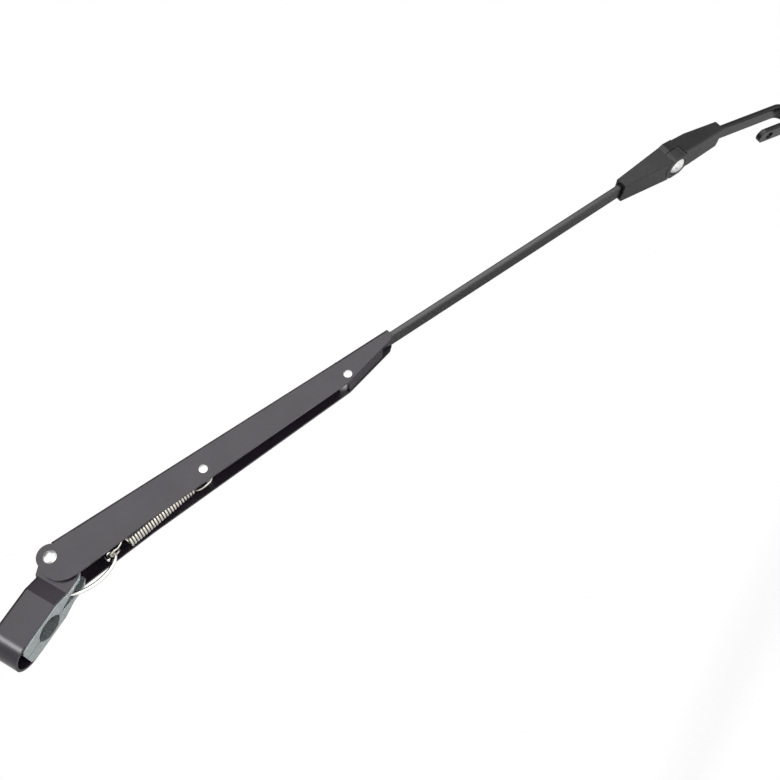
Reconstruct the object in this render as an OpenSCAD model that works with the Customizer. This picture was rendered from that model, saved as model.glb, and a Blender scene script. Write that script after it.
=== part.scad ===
// Sprung wiper arm with a self-locking clamp head, a tapering channel arm,
// a flat bar, a swivel knuckle and a short hook rod.
// The origin is the centre of the clamp's bore at its lower face. +Z runs along the
// spindle, away from the glass, +X towards the hook and +Y to the far side.
// The arm is drawn where its spring holds it when nothing bears on it: drooping.

/* [Clamp head] */
// Diameter of the clamp's bore for the knurled drum
bore_d = 18; // [14:0.5:19]
// Height of the clamp jaws
jaw_h = 21.5; // [18:0.5:26]
// Gap between the two jaws
slit = 0.5; // [0.3:0.1:1.2]
// Width of the serration grooves in the bore
groove_w = 0.6; // [0.4:0.1:1]
// Number of serration grooves in each jaw
groove_count = 11; // [5:1:14]
// Thickness of a jaw beside the bore
jaw_wall = 2.5; // [2:0.1:3.5]
// Sheet thickness of the head shell
shell_t = 1.8; // [1.2:0.1:2.2]
// Distance from the bore's axis to the back of the shell
tail_reach = 30.3; // [28:0.5:36]
// Distance from the bore's axis to the back of the jaws
jaw_tail = 21.3; // [17:0.5:23]
// How far the jaws and their prongs stand out past the shell and its ears
jaw_proud = 0.8; // [0.2:0.1:1.5]
// Radius of the prongs' noses
nose_r = 2.6; // [2:0.1:3.4]
// Where the shell starts to narrow towards its ears
jog_x = 11.5; // [11:0.5:14]
// Length over which the shell narrows
jog_l = 10; // [8:0.5:11]
// Diameter of the cross pin that the spring link hooks round
link_pin_d = 2.6; // [2.4:0.1:3]

/* [Pivot] */
// Pivot ahead of the bore's axis
pivot_x = 34.7; // [34:0.1:37]
// Pivot above the lower face of the jaws
pivot_z = 22.5; // [21.5:0.1:24]
// Diameter of the pivot rivet
pivot_d = 6; // [5:0.1:6.5]
// Diameter of the pivot rivet's heads
pivot_head_d = 8.6; // [8:0.1:10]
// Wall of the spacer sleeve on the pivot rivet
sleeve_wall = 1.5; // [1:0.1:2]
// Thickness of each washer between an ear and the channel
washer_t = 0.5; // [0.4:0.1:0.8]
// Angle by which the arm droops at rest
droop = 24; // [20:0.5:28]

/* [Channel arm] */
// Length from the pivot to the end of the channel
channel_l = 264; // [240:1:320]
// Width of the channel at the pivot
channel_w = 23.4; // [22.6:0.1:25]
// Width of the channel at its tip
tip_w = 17.2; // [16.4:0.1:19]
// Sheet thickness of the channel
channel_t = 1.8; // [1.4:0.1:2]
// Outer bend radius between web and walls
bend_r = 2.2; // [2.1:0.1:3]
// Top of the web above the pivot, at the pivot
web_z = 8.4; // [8:0.1:9.4]
// How much lower the web lies at the tip
web_fall = 0.75; // [0.4:0.05:1]
// Radius of the channel's ears round the pivot
cheek_r = 8.5; // [8:0.1:9]
// Radius of the rounded lower corner of the walls
belly_r = 14; // [13:0.1:14.5]
// Depth of the walls below the pivot where they run straight
wall_drop = 15.7; // [14.8:0.1:17]
// Depth of the walls below the pivot where the tip starts
tip_drop = 10.1; // [9.4:0.1:11]
// Length of the tapering tip
tip_l = 44; // [40:1:50]
// Head diameter of the two small rivets
rivet_head_d = 6; // [5.4:0.1:7]
// Shank diameter of the two small rivets
rivet_d = 4.2; // [3.6:0.1:4.4]

/* [Spring and link] */
// Spring anchor rivet ahead of the pivot
anchor_x = 107; // [100:1:120]
// Spring anchor rivet below the pivot
anchor_drop = 6.1; // [5.4:0.1:6.8]
// Outer diameter of the spring
spring_d = 9.2; // [8.4:0.1:10]
// Wire diameter of the spring
spring_wire = 1.7; // [1.4:0.1:1.9]
// Number of coils
coils = 24; // [20:1:25]
// Pitch of the coils at rest
coil_pitch = 2.15; // [2.05:0.05:2.2]
// Wire diameter of the link
link_wire = 2.4; // [2:0.1:2.6]
// Distance from the link's pin to the eye that holds the spring
link_reach = 30.8; // [29:0.2:32]
// How far the link bows out towards the glass
link_bow = 8; // [7:0.2:9]
// Radius of the link's eye, to the middle of its wire
eye_r = 2.6; // [2.5:0.1:3.2]
// Radius of the spring's ring in that eye, to the middle of its wire
ring_r = 3.2; // [3:0.1:3.8]
// Radius of the spring's loop round its anchor rivet, to the middle of its wire
loop_r = 5.6; // [4.4:0.1:6]

/* [Flat bar and knuckle] */
// Width of the flat bar and of the hook rod
bar_w = 12.2; // [10:0.1:12.6]
// Thickness of the flat bar and of the hook rod
bar_t = 4.3; // [3.4:0.1:4.6]
// Radius of the bar's edges
bar_r = 1.2; // [0.8:0.1:1.6]
// Length of bar between the channel and the knuckle
bar_free = 215.5; // [150:1:300]
// Length of the knuckle's arm half, from its end to the screw
base_l = 51.2; // [46:0.5:60]
// Length of the knuckle's hook half, from the screw to its end
tip_half_l = 52; // [46:0.5:60]
// Width of the knuckle at the screw
knuckle_w = 21.2; // [19.6:0.1:23]
// Width of the knuckle at its ends
knuckle_end_w = 18.6; // [17.6:0.1:20]
// Depth that the bars reach into the knuckle
socket_l = 24; // [18:1:28]
// Diameter of the knuckle screw
screw_d = 6; // [5:0.1:6.5]
// Head diameter of the knuckle screw
screw_head_d = 14; // [12:0.2:15]
// Angle by which the hook half is turned to the far side
yaw = 8; // [0:1:15]

/* [Hook] */
// Free length of the hook rod, from the knuckle to its bend
hook_free = 62; // [40:1:100]
// Downward slope of the hook rod
hook_slope = 7; // [4:0.5:8]
// Clear gap between the hook's two legs
hook_gap = 13.2; // [9:0.1:15]
// Length of the hook's return leg
hook_leg = 31; // [26:0.5:38]
// Diameter of the hole in the return leg
hook_hole_d = 6.4; // [4:0.1:8]
// Distance from the end of the return leg to the hole's centre
hook_hole_x = 10.2; // [8:0.2:14]

/* [Hidden] */
$fn = 64;

// Clearances
run = 0.05;        // radial running clearance of a pin in its bore
seat = 0.05;       // clearance of a bar in its socket
stop_gap = 0.3;    // air left where two moving pieces would meet
tiny = 0.01;
far = 60;          // reach of cutting blocks past the solids

// Levels of the head
head_w = bore_d + 2 * jaw_wall + 2 * shell_t;
roof_z = jaw_h + shell_t;
skirt_z = jaw_proud;
shell_edge_r = 2.4;
head_in = head_w / 2 - shell_t;
ear_out = channel_w / 2 - channel_t - washer_t - 2 * run;
ear_in = ear_out - shell_t;
jog_end = jog_x + jog_l;
tail_cx = -tail_reach + head_w / 2;
ear_r = web_z - channel_t - stop_gap;
ear_reach = 14;
roof_end = pivot_x - 15.4;

// Jaws: the prongs reach forward between the ears and hold the link pin
prong_in = 3.4;
nose_in = 4.9;
slot_x = pivot_x - 20.6;
slot_mouth = 1;
slot_run = 1.6;
slit_relief = 1.3;
prong_x = pivot_x - 12;
nose = [pivot_x - 3.1, nose_r];
nose_rise = 30;
nose_l = 4.2;
brow_l = 12;
link_pin = [pivot_x - 9.1, pivot_z - 19.2];

// The pin and the anchor in the arm's own axes, and the line from one to the other
function to_arm(p) = [p[0] * cos(droop) - p[1] * sin(droop), p[0] * sin(droop) + p[1] * cos(droop)];
pin_arm = to_arm([link_pin[0] - pivot_x, link_pin[1] - pivot_z]);
anchor = [anchor_x, -anchor_drop];
chain = anchor - pin_arm;
chain_l = norm(chain);
chain_tilt = atan2(chain[1], chain[0]);

// Channel
taper_x = 20;
tip_x = channel_l - tip_l;
flange_l = 33.5;
rivet_dome = 0.9;
web_back = 5;
belly = [belly_r - cheek_r, -5.5];
straight_x = 60;
end_cut = [[channel_l + 0.6, 2], [channel_l - 3, -0.9]];
lip_gap = 0.6;

// Bar seated under the web
rod_rivet_x = tip_x + 2.4;
rod_rivet_z = -4.8;
bar_z = web_z - web_fall - channel_t - bar_t / 2;
bar_root = tip_x - 14;

// Knuckle
screw_x = channel_l + bar_free + base_l;
lap_z = bar_z - 0.6;
lap_gap = 0.5;
lap_r = knuckle_w / 2 + 0.8;
lap_clear = 0.4;
base_under = 9.5;
base_over = 8;
tip_over = 8.2;
tip_under = 7.3;
edge_r = 1.3;
counterbore = 0.8;
screw_head_h = 3.2;
nut_af = 10;
nut_h = 4.6;
mouth_d = 2.5;
mouth_gap = 0.9;
stake_d = 1.6;

// Spring
mean_r = (spring_d - spring_wire) / 2;
turns = coils + 0.25;
coil_x = link_reach + 13.8;
coil_end = coil_x + turns * coil_pitch;
ring_x = link_reach + eye_r - link_wire / 2 - spring_wire / 2 - stop_gap + ring_r;
loop_x = chain_l - loop_r + spring_wire / 2 + rivet_d / 2 + stop_gap;

// Places

module arm_place() { translate([pivot_x, 0, pivot_z]) rotate([0, droop, 0]) children(); }
module chain_place() {
    arm_place() translate([pin_arm[0], 0, pin_arm[1]]) rotate([0, -chain_tilt, 0]) children();
}
module knuckle_place() { arm_place() translate([screw_x, 0, lap_z]) children(); }
module tip_place() { knuckle_place() rotate([0, 0, yaw]) children(); }
module hook_place() {
    tip_place() translate([tip_half_l, 0, bar_z - lap_z - 0.8]) rotate([0, hook_slope, 0]) children();
}

// Shared shapes

// Extrudes an outline drawn in X and Z across the part's width
module across(w) { rotate([90, 0, 0]) translate([0, 0, -w / 2]) linear_extrude(w) children(); }
module across_pin(d, l) { rotate([90, 0, 0]) cylinder(d = d, h = l, center = true); }

// Points along an arc, in a plane
function arc_points(c, r, a0, a1, steps) = [for (i = [0:steps])
    let (a = a0 + (a1 - a0) * i / steps) c + r * [cos(a), sin(a)]];

// What rounding takes off a corner that lies at the origin, above and outside it
module corner_cut(r) {
    inset = r - 0.02;
    difference() {
        translate([-inset, -inset]) square(r + 4);
        translate([-inset, -inset]) circle(r, $fn = 12);
    }
}
// Takes the sharp edge off both walls, between two points of the plan
module edge_cut(a, b, r, top, fall = 0) {
    v = b - a;
    for (s = [0, 1]) mirror([0, s, 0]) translate([a[0], a[1], top]) rotate([0, fall, atan2(v[1], v[0])])
        rotate([90, 0, 90]) linear_extrude(norm(v)) corner_cut(r);
}

// Domed rivet lying across the part, with a head on each wall
module dome_rivet(d, head_d, w, head_h) {
    dome_r = (head_d * head_d / 4 + head_h * head_h) / (2 * head_h);
    across_pin(d, w + tiny);
    for (s = [-1, 1])
        rotate([s * 90, 0, 0]) translate([0, 0, w / 2]) intersection() {
            cylinder(d = head_d, h = head_h + tiny);
            translate([0, 0, head_h - dome_r]) sphere(dome_r);
        }
}

// Wire swept along a list of points
function unit(v) = v / norm(v);
function tangents(p) = [for (i = [0:len(p) - 1])
    unit(p[min(i + 1, len(p) - 1)] - p[max(i - 1, 0)])];
function carried(n, t) = unit(n - (n * t) * t);
function normals(t, n0) = [for (i = 0, n = carried(n0, t[0]); i < len(t);
    i = i + 1, n = carried(n, t[min(i, len(t) - 1)])) n];
module wire(p, d, n0, sides = 8) {
    t = tangents(p);
    n = normals(t, n0);
    rings = len(p);
    pts = [for (i = [0:rings - 1]) for (k = [0:sides - 1])
        p[i] + d / 2 * (cos(360 * k / sides) * n[i] + sin(360 * k / sides) * cross(t[i], n[i]))];
    walls = [for (i = [0:rings - 2]) for (k = [0:sides - 1])
        [i * sides + k, i * sides + (k + 1) % sides,
         (i + 1) * sides + (k + 1) % sides, (i + 1) * sides + k]];
    ends = [[for (k = [sides - 1:-1:0]) k], [for (k = [0:sides - 1]) (rings - 1) * sides + k]];
    polyhedron(pts, concat([for (w = walls) [w[3], w[2], w[1], w[0]]],
        [for (e = ends) [for (k = [len(e) - 1:-1:0]) e[k]]]), convexity = 10);
}

// Section of the flat bar, drawn across X
module bar_section(extra = 0) {
    w = bar_w + 2 * extra;
    t = bar_t + 2 * extra;
    square([w - 2 * bar_r, t], center = true);
    square([w, t - 2 * bar_r], center = true);
    for (a = [-1, 1], b = [-1, 1])
        translate([a * (w / 2 - bar_r), b * (t / 2 - bar_r)]) circle(bar_r, $fn = 32);
}
module bar(x0, x1, extra = 0) {
    translate([x0, 0, 0]) rotate([90, 0, 90]) linear_extrude(x1 - x0) bar_section(extra);
}

// Head shell

// Plan of the shell ahead of its round tail
module shell_plan(half, ear_half, back) {
    polygon([[back, half], [jog_x, half], [jog_end, ear_half], [far, ear_half],
        [far, -ear_half], [jog_end, -ear_half], [jog_x, -half], [back, -half]]);
}
module shell_outside() {
    difference() {
        translate([0, 0, -far / 2]) linear_extrude(2 * far) shell_plan(head_w / 2, ear_out, tail_cx);
        edge_cut([tail_cx, head_w / 2], [jog_x, head_w / 2], shell_edge_r, roof_z);
        edge_cut([jog_x, head_w / 2], [jog_end, ear_out], shell_edge_r, roof_z);
    }
}
module shell_tail() {
    translate([tail_cx, 0, skirt_z]) rotate([0, 0, 90]) rotate_extrude(angle = 180) difference() {
        square([head_w / 2, roof_z - skirt_z]);
        translate([0, -1]) square([head_in, jaw_h - skirt_z + 1]);
        translate([head_w / 2, roof_z - skirt_z]) corner_cut(shell_edge_r);
    }
}
// Lower front edge of a prong or an ear: round the nose, then up to the front
function nose_edge(r, l) = concat(
    [nose + r * [sin(nose_rise), -cos(nose_rise)] + l * [cos(nose_rise), sin(nose_rise)]],
    arc_points(nose, r, nose_rise - 90, -90, 6));
// Side view of the shell
module shell_profile() {
    shoulder = [for (x = [0, ear_reach]) [pivot_x, pivot_z]
        + [x * cos(droop) + ear_r * sin(droop), -x * sin(droop) + ear_r * cos(droop)]];
    crown = [for (a = [115:-7:90 - droop + 6]) [pivot_x, pivot_z] + ear_r * [cos(a), sin(a)]];
    foot = nose_edge(nose_r - jaw_proud, brow_l);
    polygon(concat([[-tail_reach, skirt_z], [-tail_reach, roof_z], [roof_end, roof_z]],
        crown, shoulder, foot));
}
module head_shell() {
    color([0.13, 0.13, 0.14]) {
        difference() {
            intersection() {
                shell_outside();
                across(2 * head_w) shell_profile();
            }
            translate([0, 0, -far / 2]) linear_extrude(far / 2 + jaw_h)
                shell_plan(head_in, ear_in, tail_cx - 1);
            translate([roof_end + 3, -ear_in, 0]) cube([far, 2 * ear_in, far]);
            translate([pivot_x, 0, pivot_z]) across_pin(pivot_d + 2 * run, 2 * head_w);
        }
        shell_tail();
    }
}

// Clamp jaws

module jaw_plan() {
    difference() {
        polygon([[-jaw_tail, slit / 2], [-jaw_tail, head_in * 0.72],
            [-jaw_tail + jaw_wall / 2, head_in * 0.9], [tail_cx + jaw_wall, head_in],
            [jog_x, head_in], [jog_end, ear_in], [prong_x + slot_run, ear_in],
            [prong_x + slot_run, prong_in], [prong_x, prong_in], [slot_x, slot_mouth],
            [slot_x - slot_run, slit / 2]]);
        circle(d = bore_d);
        for (i = [1:groove_count]) rotate(i * 180 / (groove_count + 1))
            translate([bore_d / 2, 0]) circle(d = groove_w, $fn = 4);
        for (s = [-1, 1]) translate([s * bore_d / 2, 0])
            circle(r = slit_relief, $fn = 4);
    }
}
// Side view of a prong, from the jaw's body to its rounded nose
module prong_profile() {
    front = nose_edge(nose_r, nose_l);
    polygon(concat(front, [[slot_x, 0], [slot_x, jaw_h * 0.55],
        [nose[0], link_pin[1] + 2.4 * link_pin_d], front[0] + [0, link_pin_d]]));
}
// Plan of a prong, which gets thinner towards its nose
module prong_plan() {
    polygon([[prong_x - slot_run, ear_in], [far, ear_in], [far, nose_in],
        [link_pin[0] + link_pin_d, nose_in], [prong_x, prong_in + seat],
        [prong_x - slot_run, prong_in + seat]]);
}
module jaw() {
    difference() {
        union() {
            linear_extrude(jaw_h) jaw_plan();
            intersection() {
                across(2 * head_w) prong_profile();
                translate([0, 0, -far / 2]) linear_extrude(far) prong_plan();
            }
        }
        translate([link_pin[0], 0, link_pin[1]]) across_pin(link_pin_d, head_w);
    }
}
module jaw_far() { color([0.72, 0.76, 0.80]) jaw(); }
module jaw_near() { color([0.72, 0.76, 0.80]) mirror([0, 1, 0]) jaw(); }
module link_pin() {
    color([0.70, 0.70, 0.70]) translate([link_pin[0], 0, link_pin[1]])
        across_pin(link_pin_d, 2 * ear_in);
}

// Pivot

module pivot_rivet() {
    color([0.86, 0.86, 0.86]) translate([pivot_x, 0, pivot_z]) difference() {
        dome_rivet(pivot_d, pivot_head_d, channel_w, 1.3);
        for (a = [0, 180], s = [-1, 1]) rotate([0, a + 35, 0])
            translate([2.4, s * (channel_w / 2 + 1.3), 0]) sphere(0.55, $fn = 24);
    }
}
module pivot_sleeve() {
    color([0.55, 0.55, 0.56]) translate([pivot_x, 0, pivot_z]) difference() {
        across_pin(pivot_d + 2 * sleeve_wall, 2 * ear_in);
        across_pin(pivot_d + 2 * run, 2 * head_w);
    }
}
module pivot_washer(side) {
    color([0.30, 0.30, 0.31]) translate([pivot_x, side * (ear_out + washer_t / 2 + run), pivot_z])
        difference() {
            across_pin(2 * ear_r - 0.6, washer_t);
            across_pin(pivot_d + 2 * run, 2 * washer_t);
        }
}
module pivot_washer_near() { pivot_washer(-1); }
module pivot_washer_far() { pivot_washer(1); }

// Channel arm

// Side view of the channel
module channel_profile() {
    run_in = [straight_x, -wall_drop] - belly;
    foot = atan2(run_in[1], run_in[0]) - acos(belly_r / norm(run_in));
    polygon(concat([[web_back, web_z], [channel_l, web_z - web_fall], end_cut[0], end_cut[1],
        [tip_x, -tip_drop], [straight_x, -wall_drop]], arc_points(belly, belly_r, foot, -180, 20),
        arc_points([0, 0], cheek_r, 180, acos(web_back / cheek_r), 20)));
}
function web_top(x) = web_z - web_fall * (x - web_back) / (channel_l - web_back);
// Plan of the channel, sunk by the sheet's thickness for the inside
module channel_plan(sink = 0) {
    a = channel_w / 2 - sink;
    b = tip_w / 2 - sink;
    polygon([[-far / 2, a], [taper_x, a], [tip_x, b], [channel_l + 2, b],
        [channel_l + 2, -b], [tip_x, -b], [taper_x, -a], [-far / 2, -a]]);
}
module channel_outside() {
    fall = atan(web_fall / (channel_l - web_back));
    a = channel_w / 2;
    b = tip_w / 2;
    difference() {
        intersection() {
            translate([0, 0, -far]) linear_extrude(2 * far) channel_plan();
            across(2 * channel_w) channel_profile();
        }
        edge_cut([web_back, a], [taper_x, a], bend_r, web_top(web_back), fall);
        edge_cut([taper_x, a], [tip_x, b], bend_r, web_top(taper_x), fall);
        edge_cut([tip_x, b], [channel_l + 2, b], bend_r, web_top(tip_x), fall);
    }
}
module channel_inside() {
    intersection() {
        translate([0, 0, -far]) linear_extrude(2 * far) channel_plan(channel_t);
        across(2 * channel_w) polygon([[-far, far], [web_back, far],
            [web_back, web_top(web_back) - channel_t], [channel_l + 3, web_top(channel_l + 3) - channel_t],
            [channel_l + 3, -far], [-far, -far]]);
    }
}
// The far wall's edge is folded under the bar and closes the tip
module tip_flange() {
    rise = (end_cut[1][1] + tip_drop) / (end_cut[1][0] - tip_x);
    reach = tip_w - channel_t - lip_gap;
    translate([0, (tip_w - reach) / 2 - tiny, 0]) across(reach) polygon([
        [tip_x, -tip_drop + 0.4], [tip_x + flange_l, -tip_drop + 0.4 + rise * flange_l],
        [tip_x + flange_l, -tip_drop + 0.4 + channel_t + rise * flange_l],
        [tip_x, -tip_drop + 0.4 + channel_t]]);
}
module arm_channel() {
    color([0.14, 0.14, 0.15]) arm_place() difference() {
        union() {
            difference() {
                channel_outside();
                channel_inside();
            }
            intersection() {
                tip_flange();
                translate([0, 0, -far]) linear_extrude(2 * far) channel_plan();
            }
        }
        across_pin(pivot_d + 2 * run, 2 * channel_w);
        translate([anchor[0], 0, anchor[1]]) across_pin(rivet_d, 2 * channel_w);
        translate([rod_rivet_x, 0, rod_rivet_z]) across_pin(rivet_d, 2 * channel_w);
    }
}
// Width over the walls, which the rivets' heads sit on
function wall_w(x) = max(tip_w, channel_w - (channel_w - tip_w) * (x - taper_x) / (tip_x - taper_x));
module spring_anchor_rivet() {
    color([0.86, 0.86, 0.86]) arm_place() translate([anchor[0], 0, anchor[1]])
        dome_rivet(rivet_d, rivet_head_d, wall_w(anchor_x - rivet_head_d / 2), rivet_dome);
}
module rod_rivet() {
    color([0.86, 0.86, 0.86]) arm_place() translate([rod_rivet_x, 0, rod_rivet_z])
        dome_rivet(rivet_d, rivet_head_d, wall_w(rod_rivet_x - rivet_head_d / 2), rivet_dome);
}

// Spring and link, drawn along the line from the pin to the anchor

function arc(c, r, a0, a1, steps) = [for (i = [0:steps]) let (a = a0 + (a1 - a0) * i / steps)
    [c[0] + r * cos(a), 0, c[1] + r * sin(a)]];
function curve(a, b, c, d, steps) = [for (i = [1:steps - 1]) let (t = i / steps, u = 1 - t)
    u * u * u * a + 3 * u * u * t * b + 3 * u * t * t * c + t * t * t * d];

module spring_link() {
    hook_r = (link_pin_d + link_wire) / 2 + stop_gap;
    hook_open = 40;
    eye_lean = 12;
    eye_close = 215;
    low = [0.29 * link_reach, 0, -1.38 * link_bow];
    high = [link_reach + eye_r / 4, 0, -1.08 * link_bow];
    dive = atan2(-low[2], low[0]) - asin(hook_r / norm(low));
    start = -hook_r * [sin(dive), 0, cos(dive)];
    top = [link_reach + eye_r * cos(eye_lean), 0, -eye_r * sin(eye_lean)];
    path = concat(arc([0, 0], hook_r, hook_open, 270 - dive, 18), curve(start, low, high, top, 18),
        arc([link_reach, 0], eye_r, -eye_lean, eye_close, 16));
    color([0.84, 0.83, 0.80]) chain_place() wire(path, link_wire, [0, 1, 0], 10);
}

module tension_spring() {
    steps = 16;
    ring = [for (i = [0:12]) let (a = 30 + 270 * i / 12)
        [ring_x + ring_r * cos(a), ring_r * sin(a), 0]];
    ring_end = ring[12];
    coil_start = [coil_x, 0, mean_r];
    neck = curve(ring_end, ring_end + ring_r * [sin(60), cos(60), 0],
        coil_start - mean_r * [0.15, 0.9, 0], coil_start, 6);
    helix = [for (i = [0:steps * turns]) let (a = 360 * i / steps)
        [coil_x + coil_pitch * i / steps, mean_r * sin(a), mean_r * cos(a)]];
    helix_end = [coil_end, mean_r, 0];
    loop_start = [loop_x, 0, -loop_r];
    tail = curve(helix_end, helix_end - [-coil_pitch / 2, 0, 0.7 * loop_r],
        loop_start - [loop_r, 0, 0], loop_start, 6);
    loop = arc([loop_x, 0], loop_r, -90, 150, 14);
    color([0.62, 0.61, 0.58]) chain_place()
        wire(concat(ring, neck, helix, tail, loop), spring_wire, [0, 0, 1], 6);
}

// Bar and the block that backs it in the channel's tip

module flat_bar() {
    color([0.12, 0.12, 0.13]) arm_place() translate([0, 0, bar_z])
        bar(bar_root, channel_l + bar_free + socket_l);
}
module rod_block() {
    rise = (end_cut[1][1] + tip_drop) / (end_cut[1][0] - tip_x);
    floor_z = -tip_drop + 0.4 + channel_t;
    color([0.35, 0.35, 0.36]) arm_place() difference() {
        across(tip_w - 2 * channel_t) polygon([[tip_x - 6, bar_z - bar_t / 2],
            [tip_x - 6, floor_z + 1.5], [tip_x - 3, floor_z], [tip_x, floor_z],
            [tip_x + 0.85 * flange_l, floor_z + rise * 0.85 * flange_l],
            [tip_x + 0.85 * flange_l, bar_z - bar_t / 2]]);
        translate([rod_rivet_x, 0, rod_rivet_z]) across_pin(rivet_d, 2 * tip_w);
    }
}

// Swivel knuckle, drawn round the screw with its lap at Z = 0

// One cross-section of a knuckle half, with rounded corners
module knuckle_section(x, w, low, high) {
    for (s = [-1, 1], z = [low + edge_r, high - edge_r])
        translate([x, s * (w / 2 - edge_r), z]) rotate([0, 90, 0])
            cylinder(r = edge_r, h = tiny, $fn = 24);
}
end_half = bar_t / 2 + 2.4;
module stake(x, y, z) { translate([x, y, z]) sphere(d = stake_d, $fn = 24); }

module knuckle_base() {
    bar_at = bar_z - lap_z;
    color([0.15, 0.15, 0.16]) knuckle_place() difference() {
        union() {
            hull() {
                knuckle_section(-base_l, knuckle_end_w, bar_at - end_half, bar_at + end_half);
                knuckle_section(-8, knuckle_w, -base_under, base_over);
            }
            hull() {
                knuckle_section(-8, knuckle_w, -base_under, base_over);
                knuckle_section(0, knuckle_w, -base_under, base_over);
            }
            translate([0, 0, -base_under]) intersection() {
                cylinder(r = lap_r, h = base_under);
                translate([-far, -knuckle_w / 2, 0]) cube([2 * far, knuckle_w, far]);
            }
        }
        translate([0, 0, -lap_gap / 2]) cylinder(r = lap_r + lap_clear, h = far);
        translate([0, -far / 2, -lap_gap / 2]) cube(far);
        translate([0, 0, -far]) cylinder(d = screw_d + 2 * run, h = 2 * far);
        translate([0, 0, -base_under - far]) cylinder(d = screw_head_d + 1.2, h = far + counterbore);
        translate([0, 0, bar_at]) {
            bar(-base_l - 1, -base_l + socket_l, seat);
            translate([-base_l, 0, 0]) cube([2 * mouth_d, bar_w + 2 * mouth_gap, bar_t + 2 * mouth_gap], center = true);
        }
        stake(-base_l / 2 + stake_d, -stake_d, -base_under + 2.1);
        stake(-base_l + socket_l / 5, -bar_w / 2 - stake_d / 2, bar_at - end_half);
    }
}
module knuckle_tip() {
    color([0.15, 0.15, 0.16]) tip_place() difference() {
        union() {
            hull() {
                knuckle_section(0, knuckle_w, -tip_under, tip_over);
                knuckle_section(19, knuckle_w - 0.2, -tip_under, tip_over);
                knuckle_section(tip_half_l - tiny, knuckle_end_w + 0.6,
                    bar_z - lap_z - 0.8 - end_half - 0.6, bar_z - lap_z - 0.8 + end_half + 0.2);
            }
            intersection() {
                cylinder(r = lap_r, h = tip_over);
                translate([-far, -knuckle_w / 2, 0]) cube([2 * far, knuckle_w, far]);
            }
        }
        translate([0, 0, lap_gap / 2 - far]) cylinder(r = lap_r + lap_clear, h = far);
        translate([-far, -far / 2, lap_gap / 2 - far]) cube(far);
        translate([0, 0, -far]) cylinder(d = screw_d + 2 * run, h = 2 * far);
        translate([0, 0, tip_over - nut_h + 0.4]) cylinder(d = nut_af / cos(30) + 0.1, h = far, $fn = 6);
        translate([tip_half_l, 0, bar_z - lap_z - 0.8]) rotate([0, hook_slope, 0]) {
            bar(-socket_l, 3, seat);
            cube([2 * mouth_d, bar_w + 2 * mouth_gap, bar_t + 2 * mouth_gap], center = true);
        }
        stake(tip_half_l / 2 + stake_d, -stake_d / 2, -tip_under + 0.3);
    }
}
module friction_washer() {
    color([0.45, 0.45, 0.46]) knuckle_place() translate([0, 0, -lap_gap / 2]) difference() {
        cylinder(d = 2 * screw_d + 1, h = lap_gap - run);
        translate([0, 0, -1]) cylinder(d = screw_d + 2 * run, h = lap_gap + 2);
    }
}
module knuckle_screw() {
    crown_r = (screw_head_d * screw_head_d / 4 + screw_head_h * screw_head_h) / (2 * screw_head_h);
    seat_z = counterbore - base_under - run;
    color([0.85, 0.85, 0.84]) tip_place() difference() {
        union() {
            translate([0, 0, seat_z - tiny]) cylinder(d = screw_d, h = tip_over - 0.4 - seat_z);
            translate([0, 0, seat_z]) mirror([0, 0, 1]) intersection() {
                cylinder(d = screw_head_d, h = screw_head_h);
                translate([0, 0, screw_head_h - crown_r]) sphere(crown_r);
            }
        }
        rotate([0, 0, 20]) translate([-screw_head_d, -0.9, seat_z - screw_head_h - 0.1])
            cube([2 * screw_head_d, 1.8, 1.5]);
    }
}
module knuckle_nut() {
    color([0.70, 0.70, 0.69]) tip_place() translate([0, 0, tip_over - nut_h + 0.4]) difference() {
        cylinder(d = nut_af / cos(30), h = nut_h, $fn = 6);
        translate([0, 0, -1]) cylinder(d = screw_d + 2 * run, h = nut_h + 2);
    }
}

// Hook rod, drawn from the knuckle's end along its slope

module hook_rod() {
    bend_mean = hook_gap / 2 + bar_t / 2;
    leg_x = hook_free - hook_leg;
    color([0.10, 0.10, 0.11]) hook_place() difference() {
        union() {
            bar(-socket_l, hook_free);
            translate([hook_free, 0, -bend_mean]) rotate([-90, -90, 0])
                rotate_extrude(angle = 180) translate([bend_mean, 0]) rotate(90) bar_section();
            translate([0, 0, -2 * bend_mean]) intersection() {
                bar(leg_x, hook_free);
                union() {
                    translate([leg_x + bar_w / 2, 0, -bar_t]) cylinder(d = bar_w, h = 2 * bar_t);
                    translate([leg_x + bar_w / 2, -bar_w, -bar_t]) cube([far, 2 * bar_w, 2 * bar_t]);
                }
            }
        }
        translate([leg_x + hook_hole_x, 0, -2 * bend_mean - far / 2])
            cylinder(d = hook_hole_d, h = far / 2 + bar_t);
    }
}

head_shell();
jaw_near();
jaw_far();
link_pin();
pivot_rivet();
pivot_sleeve();
pivot_washer_near();
pivot_washer_far();
arm_channel();
spring_anchor_rivet();
tension_spring();
spring_link();
rod_rivet();
rod_block();
flat_bar();
knuckle_base();
knuckle_tip();
friction_washer();
knuckle_screw();
knuckle_nut();
hook_rod();
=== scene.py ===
import math

import bmesh
import bpy
from bpy.props import FloatProperty, FloatVectorProperty, PointerProperty
from mathutils import Matrix, Vector


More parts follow.
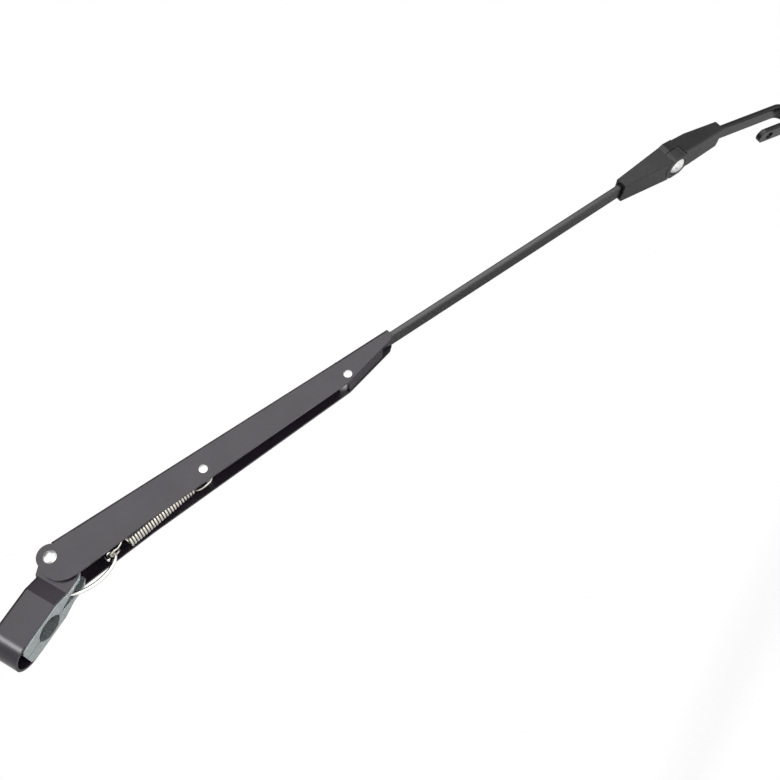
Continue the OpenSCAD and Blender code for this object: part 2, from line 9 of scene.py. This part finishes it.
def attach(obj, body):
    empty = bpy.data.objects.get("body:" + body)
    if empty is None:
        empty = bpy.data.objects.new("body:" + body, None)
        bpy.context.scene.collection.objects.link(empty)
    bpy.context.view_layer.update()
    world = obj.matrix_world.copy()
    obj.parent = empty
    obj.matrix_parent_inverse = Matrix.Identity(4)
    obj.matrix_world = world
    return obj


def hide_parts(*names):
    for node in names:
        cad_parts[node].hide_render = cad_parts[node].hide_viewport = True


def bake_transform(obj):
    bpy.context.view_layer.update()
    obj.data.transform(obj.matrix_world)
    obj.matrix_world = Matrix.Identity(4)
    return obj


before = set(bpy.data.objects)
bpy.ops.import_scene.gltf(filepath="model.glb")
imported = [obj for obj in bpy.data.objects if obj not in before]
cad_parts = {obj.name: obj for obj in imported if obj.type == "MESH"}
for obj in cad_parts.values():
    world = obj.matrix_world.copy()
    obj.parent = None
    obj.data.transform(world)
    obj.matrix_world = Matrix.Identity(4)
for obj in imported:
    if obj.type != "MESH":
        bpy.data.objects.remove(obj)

bl_info = {
    "name": "Sprung wiper arm",
    "version": (1, 0, 0),
    "blender": (4, 5, 0),
    "location": "View3D > Sidebar > Wiper arm",
    "description": "Dresses the packed wiper arm: coats, plating, wire parts, stage and camera",
    "category": "Object",
}

MM = 0.001

# Places of the arm's groups, the same as in the part's source, in millimetres
DROOP = math.radians(24)
PIVOT = Vector((34.7, 0, 22.5))
LINK_PIN = Vector((25.6, 0, 3.3))
ANCHOR_ON_ARM = Vector((107, 0, -6.1))

ARM = Matrix.Translation(PIVOT) @ Matrix.Rotation(DROOP, 4, "Y")
ANCHOR = ARM @ ANCHOR_ON_ARM
CHAIN_LENGTH = (ANCHOR - LINK_PIN).length
CHAIN_TILT = math.atan2(ANCHOR.z - LINK_PIN.z, ANCHOR.x - LINK_PIN.x)
CHAIN = Matrix.Translation(LINK_PIN) @ Matrix.Rotation(-CHAIN_TILT, 4, "Y")
TO_METRES = Matrix.Scale(MM, 4)

# Bent wires, the same as in the part's source, in millimetres
LINK_PIN_D = 2.6
LINK_REACH = 30.8
LINK_BOW = 8
EYE_R = 2.6
RING_R = 3.2
LOOP_R = 5.6
RIVET_D = 4.2
SPRING_D = 9.2
COIL_X = LINK_REACH + 13.8
COIL_TURNS = 24.25
COIL_PITCH = 2.15
STOP_GAP = 0.3

# Camera at the photo's angle, in metres and pixels
PHOTO_PIXELS = 780
FOCAL_PIXELS = 1052.086
SENSOR_WIDTH = 36
CAMERA_PLACE = (-0.0419551, -0.6353396, -0.2566189)
CAMERA_RIGHT = Vector((0.48705288, -0.00447540, -0.87336101))
CAMERA_UP = Vector((0.77681476, -0.45482087, 0.43554197))
CAMERA_FORWARD = Vector((0.39917205, 0.89057169, 0.21804526))

# Stage, in metres
STAGE_MIDDLE = (0.3, 0, -0.1)
FLOOR_RADIUS = 6.0
FADE_START = 0.7
FADE_END = 2.4
FADE_LEVEL = 0.55


# Shapes


def add_object(name, mesh):
    piece = bpy.data.objects.new(name, mesh)
    bpy.context.scene.collection.objects.link(piece)
    return piece


def shade(mesh, angle):
    """Smooth faces, with the edges sharper than angle kept sharp."""
    mesh.polygons.foreach_set("use_smooth", [True] * len(mesh.polygons))
    mesh.set_sharp_from_angle(angle=math.radians(angle))


def finish_piece(piece, node, body, material):
    piece.data.materials.clear()
    piece.data.materials.append(material)
    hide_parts(node)
    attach(piece, body)
    return piece


def even_shading(piece):
    """Lets the large faces set the shading, so that they look flat up to their rounded edges."""
    weights = piece.modifiers.new("even shading", "WEIGHTED_NORMAL")
    weights.mode = "FACE_AREA"
    weights.weight = 50
    weights.keep_sharp = True
    return piece


def softened(node, name, width, angle=32, crease=None):
    """A copy of a CAD node with its triangles joined up and its hard edges rounded.

    Upright bends sharper than crease stay visible as lines.
    """
    bm = bmesh.new()
    bm.from_mesh(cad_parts[node].data)
    bmesh.ops.remove_doubles(bm, verts=bm.verts, dist=2e-6)
    bmesh.ops.dissolve_limit(bm, angle_limit=math.radians(1.0), use_dissolve_boundaries=False,
                             verts=bm.verts, edges=bm.edges, delimit=set())
    hard = [edge for edge in bm.edges
            if len(edge.link_faces) == 2 and edge.calc_face_angle(0) > math.radians(angle)]
    if hard and width:
        bmesh.ops.bevel(bm, geom=hard, offset=width * MM, offset_type="OFFSET", affect="EDGES",
                        segments=2, profile=0.5, material=-1, clamp_overlap=True,
                        miter_outer="SHARP")
    folds = []
    for i, edge in enumerate(bm.edges):
        run = edge.verts[0].co - edge.verts[1].co
        upright = abs(run.z) > 0.9 * run.length
        if crease and upright and edge.calc_face_angle(0) > math.radians(crease):
            folds.append(i)
    mesh = bpy.data.meshes.new(name)
    bm.to_mesh(mesh)
    bm.free()
    shade(mesh, angle)
    for i in folds:
        mesh.edges[i].use_edge_sharp = True
    return even_shading(add_object(name, mesh))


def wire_piece(name, points, diameter, place, sides=6):
    """A round wire along points given in millimetres in a place's own axes."""
    curve = bpy.data.curves.new(name, "CURVE")
    curve.dimensions = "3D"
    curve.bevel_depth = diameter / 2 * MM
    curve.bevel_resolution = sides
    curve.use_fill_caps = True
    curve.twist_mode = "MINIMUM"
    spline = curve.splines.new("POLY")
    spline.points.add(len(points) - 1)
    for knot, p in zip(spline.points, points):
        q = TO_METRES @ place @ Vector(p)
        knot.co = (q.x, q.y, q.z, 1)
    holder = bpy.data.objects.new(name, curve)
    mesh = bpy.data.meshes.new_from_object(holder)
    bpy.data.objects.remove(holder)
    bpy.data.curves.remove(curve)
    mesh.name = name
    shade(mesh, 40)
    return add_object(name, mesh)


def arc(centre, radius, start, end, steps):
    """Points of an arc in X and Z, angles in degrees."""
    return [(centre[0] + radius * math.cos(math.radians(start + (end - start) * i / steps)), 0,
             centre[1] + radius * math.sin(math.radians(start + (end - start) * i / steps)))
            for i in range(steps + 1)]


def between(a, b, c, d, steps):
    """Points of a smooth curve from a to d, without its ends."""
    a, b, c, d = map(Vector, (a, b, c, d))
    return [(1 - t) ** 3 * a + 3 * (1 - t) ** 2 * t * b + 3 * (1 - t) * t * t * c + t ** 3 * d
            for t in (i / steps for i in range(1, steps))]


# Materials


class Shader:
    """Builds one material's nodes, on the object's own coordinates in metres."""

    def __init__(self, name):
        self.material = bpy.data.materials.new(name)
        self.material.use_nodes = True
        self.tree = self.material.node_tree
        self.skin = self.tree.nodes["Principled BSDF"]
        self.place = self.node("ShaderNodeTexCoord").outputs["Object"]

    def node(self, kind, **settings):
        made = self.tree.nodes.new(kind)
        for key, value in settings.items():
            setattr(made, key, value)
        return made

    def join(self, source, target):
        self.tree.links.new(source, target)

    def noise(self, scale, detail=3.0, roughness=0.55):
        texture = self.node("ShaderNodeTexNoise")
        texture.inputs["Scale"].default_value = scale
        texture.inputs["Detail"].default_value = detail
        texture.inputs["Roughness"].default_value = roughness
        self.join(self.place, texture.inputs["Vector"])
        return texture.outputs["Fac"]

    def ramp(self, value, low, high, first, last):
        """Maps a value between low and high to colours first to last."""
        ramp = self.node("ShaderNodeValToRGB")
        ramp.color_ramp.elements[0].position = low
        ramp.color_ramp.elements[1].position = high
        ramp.color_ramp.elements[0].color = (*first, 1)
        ramp.color_ramp.elements[1].color = (*last, 1)
        self.join(value, ramp.inputs["Fac"])
        return ramp.outputs["Color"]

    def spread(self, value, low, high, first, last):
        spread = self.node("ShaderNodeMapRange")
        for key, number in (("From Min", low), ("From Max", high), ("To Min", first),
                            ("To Max", last)):
            spread.inputs[key].default_value = number
        self.join(value, spread.inputs["Value"])
        return spread.outputs["Result"]

    def mix(self, amount, first, last):
        mix = self.node("ShaderNodeMix", data_type="RGBA")
        self.join(amount, mix.inputs["Factor"])
        self.join(first, mix.inputs[6])
        self.join(last, mix.inputs[7])
        return mix.outputs[2]

    def relief(self, value, depth, below=None):
        bump = self.node("ShaderNodeBump")
        bump.inputs["Strength"].default_value = 1.0
        bump.inputs["Distance"].default_value = depth * MM
        self.join(value, bump.inputs["Height"])
        if below:
            self.join(below, bump.inputs["Normal"])
        return bump.outputs["Normal"]

    def done(self, color, roughness, normal=None, metallic=0.0, specular=0.5):
        self.join(color, self.skin.inputs["Base Color"])
        self.join(roughness, self.skin.inputs["Roughness"])
        if normal:
            self.join(normal, self.skin.inputs["Normal"])
        self.skin.inputs["Metallic"].default_value = metallic
        self.skin.inputs["Specular IOR Level"].default_value = specular
        return self.material


def tinted(color, factor):
    return tuple(min(1.0, c * factor) for c in color[:3])


def coat_material(name, color, rough, peel, specular=0.5):
    """Satin black coat: a fine orange peel, faint cloudiness and a little dust."""
    s = Shader(name)
    clouds = s.ramp(s.noise(38, 4), 0.3, 0.72, tinted(color, 0.86), tinted(color, 1.16))
    specks = s.noise(2600, 2)
    dust = s.spread(specks, 0.68, 0.8, 0.0, 0.35)
    pale = s.ramp(specks, 0.0, 1.0, tinted(color, 2.4), tinted(color, 2.8))
    roughness = s.spread(s.noise(60, 5), 0.3, 0.7, rough - 0.03, rough + 0.03)
    fine = s.relief(s.noise(1500, 2), peel)
    return s.done(s.mix(dust, clouds, pale), roughness,
                  s.relief(s.noise(420, 1), peel * 1.6, fine), specular=specular)


def metal_material(name, color, rough, grain, stain=0.8, cell=240, metallic=1.0):
    """Bare or plated metal, with a tumbled grain and slight staining."""
    s = Shader(name)
    base = s.ramp(s.noise(cell, 5), 0.3, 0.7, tinted(color, stain), color[:3])
    roughness = s.spread(s.noise(900, 3), 0.3, 0.7, rough - 0.04, rough + 0.05)
    return s.done(base, roughness, s.relief(s.noise(700, 2), grain), metallic=metallic)


def card_material(name, low, high):
    """Dull grey board, with its grey between low and high."""
    s = Shader(name)
    return s.done(s.ramp(s.noise(3), 0.3, 0.7, (low, low, low), (high, high, high)),
                  s.spread(s.noise(9), 0.3, 0.7, 0.8, 0.9))


# Settings


class WiperArmFinishes(bpy.types.PropertyGroup):
    coat: FloatVectorProperty(name="Coat",
                              description="Colour of the coat on the folded sheet parts",
                              subtype="COLOR", size=3, min=0, max=1,
                              default=(0.0160, 0.0120, 0.0180))
    cast: FloatVectorProperty(name="Cast parts",
                              description="Colour of the coat on the knuckle", subtype="COLOR",
                              size=3, min=0, max=1, default=(0.012, 0.012, 0.013))
    bar: FloatVectorProperty(name="Bars",
                             description="Colour of the coat on the flat bar and the hook rod",
                             subtype="COLOR", size=3, min=0, max=1,
                             default=(0.010, 0.010, 0.0105))
    zinc: FloatVectorProperty(name="Zinc plate", description="Colour of the clamp jaws",
                              subtype="COLOR", size=3, min=0, max=1,
                              default=(0.44, 0.48, 0.485))
    bright: FloatVectorProperty(name="Rivets",
                                description="Colour of the bright rivets and the screw",
                                subtype="COLOR", size=3, min=0, max=1,
                                default=(0.90, 0.90, 0.89))
    wire: FloatVectorProperty(name="Link wire", description="Colour of the plated link",
                              subtype="COLOR", size=3, min=0, max=1, default=(0.80, 0.78, 0.74))
    spring: FloatVectorProperty(name="Spring wire",
                                description="Colour of the oiled spring steel", subtype="COLOR",
                                size=3, min=0, max=1, default=(0.66, 0.63, 0.58))
    hidden: FloatVectorProperty(name="Plain steel",
                                description="Colour of the plain steel small parts",
                                subtype="COLOR", size=3, min=0, max=1,
                                default=(0.45, 0.45, 0.46))


class WiperArmSizes(bpy.types.PropertyGroup):
    sheet_edge: FloatProperty(name="Sheet edge",
                              description="Rounding of the sheet metal's edges, in mm",
                              default=0.35, min=0.05, max=0.8)
    cast_edge: FloatProperty(name="Cast edge",
                             description="Rounding of the cast parts' edges, in mm",
                             default=0.45, min=0.05, max=1.0)
    jaw_edge: FloatProperty(name="Jaw edge",
                            description="Rounding of the clamp jaws' edges, in mm",
                            default=0.55, min=0.05, max=1.0)
    spring_wire: FloatProperty(name="Spring wire",
                               description="Diameter of the spring's wire, in mm", default=1.7,
                               min=1.0, max=2.0)
    link_wire: FloatProperty(name="Link wire", description="Diameter of the link's wire, in mm",
                             default=2.4, min=1.5, max=3.0)
    floor: FloatProperty(name="Floor", description="Height of the floor below the clamp",
                         subtype="DISTANCE", unit="LENGTH", default=-0.5, min=-2.0, max=-0.3)
    world: FloatProperty(name="World light",
                         description="Strength of the even light from all sides", default=0.28,
                         min=0.0, max=2.0)
    front: FloatProperty(name="Front light",
                         description="Power of the wide lamp behind the camera",
                         subtype="POWER", default=7.9, min=0.0, max=200.0)
    low: FloatProperty(name="Low light", description="Power of the lamp below the arm",
                       subtype="POWER", default=1.7, min=0.0, max=200.0)
    key: FloatProperty(name="Key light",
                       description="Power of the small lamp at the clamp's side",
                       subtype="POWER", default=15.0, min=0.0, max=200.0)


def finishes():
    return bpy.context.scene.wiper_arm_finishes


def sizes():
    return bpy.context.scene.wiper_arm_sizes


def kept(name, maker, *values, **options):
    """The named material, made when it is first asked for."""
    return bpy.data.materials.get(name) or maker(name, *values, **options)


def coat():
    return kept("satin black coat", coat_material, finishes().coat, 0.30, 0.003, 0.42)


def cast_coat():
    return kept("black cast coat", coat_material, finishes().cast, 0.38, 0.003, 0.34)


def bar_coat():
    return kept("black bar coat", coat_material, finishes().bar, 0.24, 0.002, 0.55)


def hook_coat():
    return kept("black hook coat", coat_material, finishes().bar, 0.30, 0.002, 0.32)


def zinc():
    return kept("zinc plate", metal_material, finishes().zinc, 0.36, 0.004, metallic=0.75)


def bright_steel():
    return kept("bright steel", metal_material, finishes().bright, 0.42, 0.003, stain=0.66,
                cell=420, metallic=0.7)


def pressed_steel():
    return kept("pressed steel", metal_material, finishes().bright, 0.34, 0.004, stain=0.36,
                cell=430, metallic=0.85)


def plated_wire():
    return kept("plated wire", metal_material, finishes().wire, 0.22, 0.002, stain=0.88)


def spring_steel():
    return kept("spring steel", metal_material, finishes().spring, 0.30, 0.003, stain=0.7)


def plain_steel():
    return kept("plain steel", metal_material, finishes().hidden, 0.38, 0.005, stain=0.75)


# Operators


class WIPERARM_OT_head(bpy.types.Operator):
    """Clamp head: folded shell, serrated jaws and the link's cross pin"""
    bl_idname = "wiperarm.head"
    bl_label = "Clamp head"

    def execute(self, context):
        shell = softened("head_shell", "head_shell_folded", sizes().sheet_edge, crease=14)
        finish_piece(shell, "head_shell", "head", coat())
        for side in ("near", "far"):
            jaw = softened(f"jaw_{side}", f"clamp_jaw_{side}", sizes().jaw_edge)
            finish_piece(jaw, f"jaw_{side}", "head", zinc())
        pin = softened("link_pin", "link_cross_pin", 0.15)
        finish_piece(pin, "link_pin", "head", plain_steel())
        return {"FINISHED"}


class WIPERARM_OT_pivot(bpy.types.Operator):
    """Pivot: rivet, sleeve and washers"""
    bl_idname = "wiperarm.pivot"
    bl_label = "Pivot"

    def execute(self, context):
        rivet = softened("pivot_rivet", "pivot_rivet_formed", 0.12, angle=38)
        finish_piece(rivet, "pivot_rivet", "arm", pressed_steel())
        for node in ("pivot_sleeve", "pivot_washer_near", "pivot_washer_far"):
            piece = softened(node, f"{node}_turned", 0.08)
            finish_piece(piece, node, "head", plain_steel())
        return {"FINISHED"}


class WIPERARM_OT_channel(bpy.types.Operator):
    """Folded channel of the arm, with its two small rivets and the block in its tip"""
    bl_idname = "wiperarm.channel"
    bl_label = "Channel"

    def execute(self, context):
        channel = softened("arm_channel", "arm_channel_folded", sizes().sheet_edge)
        finish_piece(channel, "arm_channel", "arm", coat())
        for node in ("spring_anchor_rivet", "rod_rivet"):
            rivet = softened(node, f"{node}_formed", 0.1, angle=38)
            finish_piece(rivet, node, "arm", bright_steel())
        block = softened("rod_block", "rod_block_cast", 0.2)
        finish_piece(block, "rod_block", "arm", plain_steel())
        return {"FINISHED"}


class WIPERARM_OT_link(bpy.types.Operator):
    """Bright bent wire link between the clamp head and the spring"""
    bl_idname = "wiperarm.link"
    bl_label = "Spring link"

    def execute(self, context):
        wire = sizes().link_wire
        hook = (LINK_PIN_D + wire) / 2 + STOP_GAP
        low = Vector((0.29 * LINK_REACH, 0, -1.38 * LINK_BOW))
        high = Vector((LINK_REACH + EYE_R / 4, 0, -1.08 * LINK_BOW))
        dive = math.atan2(-low.z, low.x) - math.asin(hook / low.length)
        start = Vector((-hook * math.sin(dive), 0, -hook * math.cos(dive)))
        lean = math.radians(12)
        top = Vector((LINK_REACH + EYE_R * math.cos(lean), 0, -EYE_R * math.sin(lean)))
        points = (arc((0, 0), hook, 40, 270 - math.degrees(dive), 36)
                  + between(start, low, high, top, 48)
                  + arc((LINK_REACH, 0), EYE_R, -12, 215, 32))
        link = wire_piece("spring_link_bent", points, wire, CHAIN, 8)
        finish_piece(link, "spring_link", "link", plated_wire())
        return {"FINISHED"}


class WIPERARM_OT_spring(bpy.types.Operator):
    """Closely coiled tension spring, built as one fixed mesh; on the real arm it stretches as the
    arm lifts
    """
    bl_idname = "wiperarm.spring"
    bl_label = "Tension spring"

    def execute(self, context):
        wire = sizes().spring_wire
        mean, steps = (SPRING_D - wire) / 2, 32
        back = COIL_X + COIL_TURNS * COIL_PITCH
        ring_x = LINK_REACH + EYE_R - sizes().link_wire / 2 - wire / 2 - STOP_GAP + RING_R
        loop_x = CHAIN_LENGTH - LOOP_R + wire / 2 + RIVET_D / 2 + STOP_GAP
        ring = []
        for i in range(25):
            a = math.radians(30 + 270 * i / 24)
            ring.append(Vector((ring_x + RING_R * math.cos(a), RING_R * math.sin(a), 0)))
        coil_start = Vector((COIL_X, 0, mean))
        lean = Vector((math.sin(math.radians(60)), math.cos(math.radians(60)), 0))
        neck = between(ring[-1], ring[-1] + RING_R * lean,
                       coil_start - mean * Vector((0.15, 0.9, 0)), coil_start, 14)
        helix = []
        for i in range(int(steps * COIL_TURNS) + 1):
            a = math.radians(360 * i / steps)
            helix.append((COIL_X + COIL_PITCH * i / steps, mean * math.sin(a), mean * math.cos(a)))
        helix_end = Vector((back, mean, 0))
        loop_start = Vector((loop_x, 0, -LOOP_R))
        tail = between(helix_end, helix_end - Vector((-COIL_PITCH / 2, 0, 0.7 * LOOP_R)),
                       loop_start - Vector((LOOP_R, 0, 0)), loop_start, 14)
        loop = arc((loop_x, 0), LOOP_R, -90, 150, 30)
        points = ring + neck + helix + tail + loop
        spring = wire_piece("tension_spring_coiled", points, wire, CHAIN, 4)
        spring.data.materials.append(spring_steel())
        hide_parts("tension_spring")
        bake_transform(spring)
        return {"FINISHED"}


class WIPERARM_OT_bar(bpy.types.Operator):
    """Flat bar between the channel and the knuckle"""
    bl_idname = "wiperarm.bar"
    bl_label = "Flat bar"

    def execute(self, context):
        bar = softened("flat_bar", "flat_bar_rolled", 0)
        finish_piece(bar, "flat_bar", "arm", bar_coat())
        return {"FINISHED"}


class WIPERARM_OT_knuckle(bpy.types.Operator):
    """Swivel knuckle: both cast halves, screw, nut and washer"""
    bl_idname = "wiperarm.knuckle"
    bl_label = "Swivel knuckle"

    def execute(self, context):
        base = softened("knuckle_base", "knuckle_base_cast", sizes().cast_edge)
        finish_piece(base, "knuckle_base", "arm", cast_coat())
        tip = softened("knuckle_tip", "knuckle_tip_cast", sizes().cast_edge)
        finish_piece(tip, "knuckle_tip", "tip", cast_coat())
        screw = softened("knuckle_screw", "knuckle_screw_turned", 0.15, angle=38)
        finish_piece(screw, "knuckle_screw", "tip", bright_steel())
        nut = softened("knuckle_nut", "knuckle_nut_plated", 0.25)
        finish_piece(nut, "knuckle_nut", "tip", zinc())
        washer = softened("friction_washer", "friction_washer_turned", 0.08)
        finish_piece(washer, "friction_washer", "tip", plain_steel())
        return {"FINISHED"}


class WIPERARM_OT_hook(bpy.types.Operator):
    """Hook rod with its return leg and hole"""
    bl_idname = "wiperarm.hook"
    bl_label = "Hook rod"

    def execute(self, context):
        hook = softened("hook_rod", "hook_rod_bent", 0.2, angle=40)
        finish_piece(hook, "hook_rod", "tip", hook_coat())
        return {"FINISHED"}


def seen_directly(tree):
    """1 for camera rays, reflections and light through glass, and 0 for the rest."""
    path = tree.nodes.new("ShaderNodeLightPath")
    seen = path.outputs["Is Camera Ray"]
    for name in ("Is Glossy Ray", "Is Transmission Ray"):
        top = tree.nodes.new("ShaderNodeMath")
        top.operation = "MAXIMUM"
        tree.links.new(seen, top.inputs[0])
        tree.links.new(path.outputs[name], top.inputs[1])
        seen = top.outputs[0]
    return seen


def shaded_world():
    """Even light, with a plain white background for the camera and reflections."""
    world = bpy.data.worlds.new("studio")
    bpy.context.scene.world = world
    world.use_nodes = True
    tree = world.node_tree
    back = tree.nodes["Background"]
    back.inputs["Color"].default_value = (1, 1, 1, 1)
    level = tree.nodes.new("ShaderNodeMapRange")
    level.inputs["To Min"].default_value = sizes().world
    level.inputs["To Max"].default_value = 1.0
    tree.links.new(seen_directly(tree), level.inputs["Value"])
    tree.links.new(level.outputs["Result"], back.inputs["Strength"])


def floor_material():
    """Pale floor that the camera sees as near white, with the object's shadow kept."""
    material = bpy.data.materials.new("pale floor")
    material.use_nodes = True
    tree = material.node_tree
    skin = tree.nodes["Principled BSDF"]
    skin.inputs["Base Color"].default_value = (0.86, 0.86, 0.86, 1)
    skin.inputs["Roughness"].default_value = 0.9
    skin.inputs["Emission Color"].default_value = (1, 1, 1, 1)
    place = tree.nodes.new("ShaderNodeTexCoord")
    away = tree.nodes.new("ShaderNodeVectorMath")
    away.operation = "DISTANCE"
    away.inputs[1].default_value = (*STAGE_MIDDLE[:2], sizes().floor)
    tree.links.new(place.outputs["Object"], away.inputs[0])
    fade = tree.nodes.new("ShaderNodeMapRange")
    for key, number in (("From Min", FADE_START), ("From Max", FADE_END), ("To Min", FADE_LEVEL),
                        ("To Max", 1.0)):
        fade.inputs[key].default_value = number
    tree.links.new(away.outputs["Value"], fade.inputs["Value"])
    lift = tree.nodes.new("ShaderNodeMath")
    lift.operation = "MULTIPLY"
    tree.links.new(fade.outputs["Result"], lift.inputs[0])
    tree.links.new(seen_directly(tree), lift.inputs[1])
    tree.links.new(lift.outputs[0], skin.inputs["Emission Strength"])
    return material


def facing(place, aim, along):
    """A matrix at a place whose Z axis points away from aim, with X along a direction."""
    back = (Vector(place) - Vector(aim)).normalized()
    side = Vector(along)
    side = (side - side.dot(back) * back).normalized()
    turn = Matrix((side, back.cross(side), back)).transposed().to_4x4()
    return Matrix.Translation(place) @ turn


def soft_box(name, place, aim, along, length, width, power):
    """A flat lamp that faces aim, with its long side along a direction."""
    lamp = bpy.data.lights.new(name, "AREA")
    lamp.shape = "RECTANGLE"
    lamp.size = length
    lamp.size_y = width
    lamp.energy = power
    holder = bpy.data.objects.new(name, lamp)
    bpy.context.scene.collection.objects.link(holder)
    holder.matrix_world = facing(place, aim, along)
    holder.visible_camera = False
    return holder


def reflected_card(name, place, aim, along, length, width, material):
    """A studio card that shows only in reflections, as a darker part of the room."""
    bm = bmesh.new()
    bmesh.ops.create_grid(bm, x_segments=1, y_segments=1, size=0.5)
    bmesh.ops.scale(bm, verts=bm.verts, vec=(length, width, 1))
    bmesh.ops.transform(bm, verts=bm.verts, matrix=facing(place, aim, along))
    mesh = bpy.data.meshes.new(name)
    bm.to_mesh(mesh)
    bm.free()
    mesh.materials.append(material)
    card = add_object(name, mesh)
    card.visible_camera = False
    card.visible_diffuse = False
    card.visible_transmission = False
    card.visible_shadow = False
    return card


class WIPERARM_OT_stage(bpy.types.Operator):
    """Floor, light and the camera at the photo's angle"""
    bl_idname = "wiperarm.stage"
    bl_label = "Stage"

    def execute(self, context):
        scene = context.scene
        scene.view_settings.view_transform = "Standard"
        shaded_world()
        across, upright = (1, 0, 0), (0, 0, 1)
        down_the_arm = (math.cos(DROOP), 0, -math.sin(DROOP))
        under_stage = (*STAGE_MIDDLE[:2], sizes().floor)
        bm = bmesh.new()
        bmesh.ops.create_circle(bm, cap_ends=True, segments=96, radius=FLOOR_RADIUS)
        bmesh.ops.translate(bm, verts=bm.verts, vec=under_stage)
        mesh = bpy.data.meshes.new("floor")
        bm.to_mesh(mesh)
        bm.free()
        mesh.materials.append(floor_material())
        add_object("floor", mesh)
        soft_box("front", (0.71, -1.2, 0.29), STAGE_MIDDLE, down_the_arm, 1.58, 0.65,
                 sizes().front)
        soft_box("key", (-0.50, -1.2, 0.52), (0, 0, 0), upright, 0.8, 0.4, sizes().key)
        soft_box("low", (0.3, -0.45, -0.42), STAGE_MIDDLE, down_the_arm, 0.8, 0.32, sizes().low)
        card = card_material("card grey", 0.10, 0.14)
        reflected_card("card right", (1.95, -1.1, 0.3), STAGE_MIDDLE, upright, 1.8, 1.2, card)
        reflected_card("card above", (0.3, 0.25, 1.1), STAGE_MIDDLE, across, 2.4, 2.3, card)
        card = card_material("card pale", 0.66, 0.72)
        reflected_card("card behind clamp", (-0.35, 0.66, -0.2), (-0.35, 0, -0.1), across,
                       1.1, 0.58, card)
        card = card_material("card dim", 0.26, 0.32)
        reflected_card("card behind knuckle", (0.9, 0.4, -0.26), (0.9, 0, -0.26), across,
                       1.2, 0.46, card)
        camera = bpy.data.cameras.new("camera")
        camera.sensor_width = SENSOR_WIDTH
        camera.lens = FOCAL_PIXELS / PHOTO_PIXELS * SENSOR_WIDTH
        camera.clip_start = 0.01
        camera.clip_end = 50
        holder = bpy.data.objects.new("camera", camera)
        scene.collection.objects.link(holder)
        turn = Matrix((CAMERA_RIGHT, CAMERA_UP, -CAMERA_FORWARD)).transposed().to_4x4()
        holder.matrix_world = Matrix.Translation(CAMERA_PLACE) @ turn
        scene.camera = holder
        return {"FINISHED"}


class WIPERARM_PT_panel(bpy.types.Panel):
    """The arm's pieces and settings"""
    bl_label = "Wiper arm"
    bl_idname = "WIPERARM_PT_panel"
    bl_space_type = "VIEW_3D"
    bl_region_type = "UI"
    bl_category = "Wiper arm"

    def draw(self, context):
        column = self.layout.column()
        for group in (finishes(), sizes()):
            for key in group.__annotations__:
                column.prop(group, key)
        for step in STEPS:
            column.operator(step.bl_idname)


STEPS = (WIPERARM_OT_stage, WIPERARM_OT_head, WIPERARM_OT_pivot, WIPERARM_OT_channel,
         WIPERARM_OT_link, WIPERARM_OT_spring, WIPERARM_OT_bar, WIPERARM_OT_knuckle,
         WIPERARM_OT_hook)
CLASSES = (WiperArmFinishes, WiperArmSizes) + STEPS + (WIPERARM_PT_panel,)


def register():
    for item in CLASSES:
        bpy.utils.register_class(item)
    bpy.types.Scene.wiper_arm_finishes = PointerProperty(type=WiperArmFinishes)
    bpy.types.Scene.wiper_arm_sizes = PointerProperty(type=WiperArmSizes)


def unregister():
    del bpy.types.Scene.wiper_arm_finishes
    del bpy.types.Scene.wiper_arm_sizes
    for item in reversed(CLASSES):
        bpy.utils.unregister_class(item)


def main():
    register()
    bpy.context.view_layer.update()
    for step in STEPS:
        group, name = step.bl_idname.split(".")
        getattr(getattr(bpy.ops, group), name)()


if __name__ == "__main__":
    main()
